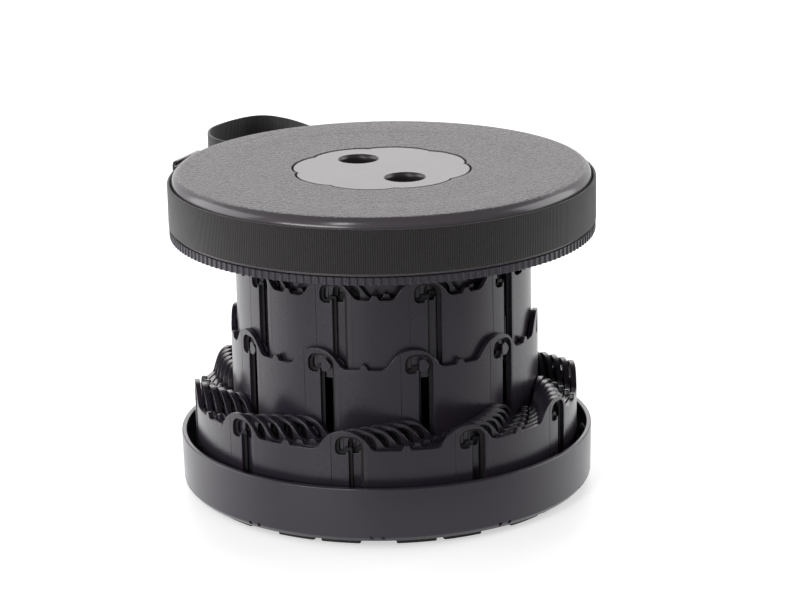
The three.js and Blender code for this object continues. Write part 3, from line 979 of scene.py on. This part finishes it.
path = smooth_route(route)
section = rounded([
    (-strap_thickness / 2, 0, 0.5 * mm), (strap_thickness / 2, 0, 0.5 * mm),
    (strap_thickness / 2, strap_width, 0.5 * mm), (-strap_thickness / 2, strap_width, 0.5 * mm),
], 3)
print("loop points", len(path), "section points", len(section))

# %% Draw the ribbon along its route
lengths = [0]
for before, after in zip(path, path[1:]):
    lengths.append(lengths[-1] + (after - before).length)
ribbon = bmesh.new()
rows = []
for number, spot in enumerate(path):
    ahead = path[min(number + 1, len(path) - 1)] - path[max(number - 1, 0)]
    side = Vector((-ahead.y, ahead.x)).normalized()
    rows.append([ribbon.verts.new((*(spot + side * across), strap_low + up))
                 for across, up in section])
uv = ribbon.loops.layers.uv.new("weave")
for number, (row, following) in enumerate(zip(rows, rows[1:])):
    for i in range(len(section)):
        j = (i + 1) % len(section)
        face = ribbon.faces.new((row[i], row[j], following[j], following[i]))
        spots = ((number, i), (number, j), (number + 1, j), (number + 1, i))
        for corner, (place, point) in zip(face.loops, spots):
            corner[uv].uv = (lengths[place], section[point][1])
ribbon.faces.new(rows[0][::-1])
ribbon.faces.new(rows[-1])
bmesh.ops.recalc_face_normals(ribbon, faces=ribbon.faces)
loop_mesh = bpy.data.meshes.new("carry_loop")
ribbon.to_mesh(loop_mesh)
ribbon.free()
carry_loop = bpy.data.objects.new("carry_loop", loop_mesh)
bpy.context.collection.objects.link(carry_loop)
smooth(carry_loop, 40)
dress(carry_loop, strap_finish, "strap", "seat", "strap_loop")
print("loop length", round(lengths[-1] / mm, 1), "mm")

# %% [markdown]
# ## The slider and the screws
# The slider is a flat frame with two windows and a bar between them. The screws are small pan
# heads on plain shanks, hidden under the seat.

# %% The slider
slider_turn = math.radians(-115.3)
slider_width, slider_height, slider_thickness, bar = 34 * mm, 31.4 * mm, 2.5 * mm, 3.4 * mm
slider_lie = band_outer + strap_thickness + 0.9 * mm
slider_middle = strap_low + strap_width / 2 - 2 * mm


def frame_outline(left, right, low, high, radius):
    corners = [(left, low), (right, low), (right, high), (left, high)]
    return rounded([(*corner, radius) for corner in corners], 4)


half_width, half_height = slider_width / 2, slider_height / 2
outline = frame_outline(-half_width, half_width, -half_height, half_height, 2.6 * mm)
slider = plate("sliding_frame", outline, -slider_lie - slider_thickness, -slider_lie)
for side in (-1, 1):
    inner, outer = sorted((side * bar / 2, side * (half_width - bar)))
    window = frame_outline(inner, outer, bar - half_height, half_height - bar, 1.0 * mm)
    cut_away(slider, plate("window", window, -slider_lie - 4 * mm, -slider_lie + mm))
round_edges(slider, 0.7 * mm, 3)
slider.data.transform(Matrix.Translation((0, 0, slider_middle)))
slider.data.transform(Matrix.Rotation(slider_turn, 4, "Z"))
smooth(slider)
dress(slider, base_finish, "base", "strap_slider", "strap_slider")
print("slider faces", len(slider.data.polygons))

# %% The screws
screws = 5
screw_head, screw_shank, head_height = 2.9 * mm, 1.4 * mm, 2 * mm
steel_finish = moulded_plastic("zinc steel", (0.55, 0.55, 0.56), 0.35,
                               700.0, 0.02 * mm, 0.12, 0.04)
steel_finish.node_tree.nodes["Principled BSDF"].inputs["Metallic"].default_value = 1.0
for number in range(screws):
    node = f"seat_screw_{number + 1}"
    low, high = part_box(node)[0][2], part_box(node)[1][2]
    screw = turned(f"pan_screw_{number + 1}", round_profile([
        (0, low, 0), (screw_head, low, 0.8 * mm), (screw_head, low + head_height, 0.2 * mm),
        (screw_shank, low + head_height, 0), (screw_shank, high, 0.3 * mm), (0, high, 0),
    ], 3), 24)
    spot = on_circle(screw_circle, turn + 2 * math.pi * number / screws)
    screw.data.transform(Matrix.Translation((*spot, 0)))
    smooth(screw)
    dress(screw, steel_finish, "steel", "seat", node)
print("screws made:", screws)

# %% [markdown]
# ## Floor, light and camera
# The stool stands in a white studio with a softbox at each side. What its upright walls mirror is
# mostly the floor and the low sky: both are bright beside and behind the stool, which lights the
# edges of the column, and dim in front of it, which leaves the middle of the column nearly black.
# A lamp behind the stool shines along the seat, and makes the grain of its top light grey.

# %% The white floor, mirrored brighter beside the stool than in front of it
def only_for(nodes, links, *kinds):
    """1 for these kinds of light path, and 0 for the others."""
    rays = nodes.new("ShaderNodeLightPath")
    result = rays.outputs[kinds[0]]
    for kind in kinds[1:]:
        result = combine(nodes, links, "MAXIMUM", result, rays.outputs[kind])
    return result


bpy.ops.object.select_all(action="DESELECT")
bpy.ops.mesh.primitive_plane_add(size=8)
floor = bpy.context.object
floor.name = "studio_floor"
floor_finish, nodes, links, shader = start_finish("floor white", (0.8, 0.8, 0.8), 0.5)
shader.inputs["Base Color"].default_value = (0.8, 0.8, 0.802, 1)
place = nodes.new("ShaderNodeSeparateXYZ")
links.new(nodes.new("ShaderNodeTexCoord").outputs["Object"], place.inputs["Vector"])
beside = ramp_between(nodes, links, place.outputs["Y"], 0.0, 1.0, -0.26, 0.02)
behind = ramp_between(nodes, links, place.outputs["Y"], 1.0, 0.65, 0.05, 0.35)
leftward = ramp_between(nodes, links, place.outputs["X"], 1.0, 0.7, -0.1, 0.25)
mirrored = times(nodes, links, only_for(nodes, links, "Is Glossy Ray"),
                 times(nodes, links, times(nodes, links, beside, behind), leftward))
span = nodes.new("ShaderNodeVectorMath")
span.operation = "LENGTH"
links.new(nodes.new("ShaderNodeTexCoord").outputs["Object"], span.inputs[0])
seen = times(nodes, links, only_for(nodes, links, "Is Camera Ray"),
             ramp_between(nodes, links, span.outputs["Value"], 0.5, 1.0, 0.8, 2.0))
shader.inputs["Emission Color"].default_value = (1, 1, 1, 1)
links.new(plus(nodes, links, mirrored, seen), shader.inputs["Emission Strength"])
floor.data.materials.append(floor_finish)
print("floor laid")

# %% The world, white behind the stool and dim in front of it
world = bpy.context.scene.world or bpy.data.worlds.new("studio")
bpy.context.scene.world = world
world.use_nodes = True
nodes, links = world.node_tree.nodes, world.node_tree.links
background = nodes["Background"]
background.inputs["Color"].default_value = (1, 1, 1, 1)
direction = nodes.new("ShaderNodeSeparateXYZ")
links.new(nodes.new("ShaderNodeTexCoord").outputs["Generated"], direction.inputs["Vector"])
backdrop = ramp_between(nodes, links, direction.outputs["Y"], 0.15, 1.0, -0.3, 0.2)
low_sky = ramp_between(nodes, links, direction.outputs["Z"], 1.0, 0.2, 0.45, 0.85)
mirrored = times(nodes, links, only_for(nodes, links, "Is Glossy Ray"),
                 times(nodes, links, backdrop, low_sky))
seen = only_for(nodes, links, "Is Camera Ray", "Is Transmission Ray")
around = ramp_between(nodes, links, only_for(nodes, links, "Is Diffuse Ray"), 0.0, 0.3, 0, 1)
brightness = plus(nodes, links, mirrored, plus(nodes, links, seen, around))
links.new(brightness, background.inputs["Strength"])
print("world is set")


# %% The softboxes
def lamp(name, place, aim, wide, tall, power, colour=(1, 1, 1)):
    light = bpy.data.lights.new(name, "AREA")
    light.color = colour
    light.shape = "RECTANGLE"
    light.size = wide
    light.size_y = tall
    light.energy = power
    holder = bpy.data.objects.new(name, light)
    holder.location = place
    holder.rotation_euler = (Vector(aim) - Vector(place)).to_track_quat("-Z", "Y").to_euler()
    holder.visible_camera = False
    bpy.context.collection.objects.link(holder)
    return holder


middle_height = 0.1
lamp("left softbox", (-1.45, 0.2, 0.6), (0, 0, middle_height), 1.4, 1.0, 11)
lamp("right softbox", (1.45, 0.3, 0.6), (0, 0, middle_height), 1.2, 1.0, 10)
lamp("back softbox", (0, 1.7, 0.95), (0, 0, 0.19), 1.8, 1.0, 11, (1, 0.955, 0.965))
lamp("front softbox", (-0.75, -1.7, 1.5), (0, 0, middle_height), 0.3, 0.9, 9)
lamp("low strip light", (-1.1, -1.5, 0.42), (0, 0, 0.19), 1.2, 0.22, 12)
print("softboxes are set")

# %% The camera
lens, sensor = 132.67, 36.0
camera_place = Vector((0, -1.67835, 0.60034))
camera_aim = Vector((0.00943, 0, 0.110556))
camera_roll = math.radians(1.0969)
eye = bpy.data.cameras.new("camera")
eye.lens = lens
eye.sensor_width = sensor
camera = bpy.data.objects.new("camera", eye)
bpy.context.collection.objects.link(camera)
level = (camera_aim - camera_place).to_track_quat("-Z", "Y").to_matrix().to_4x4()
roll = Matrix.Rotation(-camera_roll, 4, "Z")
camera.matrix_world = Matrix.Translation(camera_place) @ level @ roll
bpy.context.scene.camera = camera
bpy.context.scene.view_settings.view_transform = "Standard"
print("camera", tuple(round(value, 4) for value in camera_place))
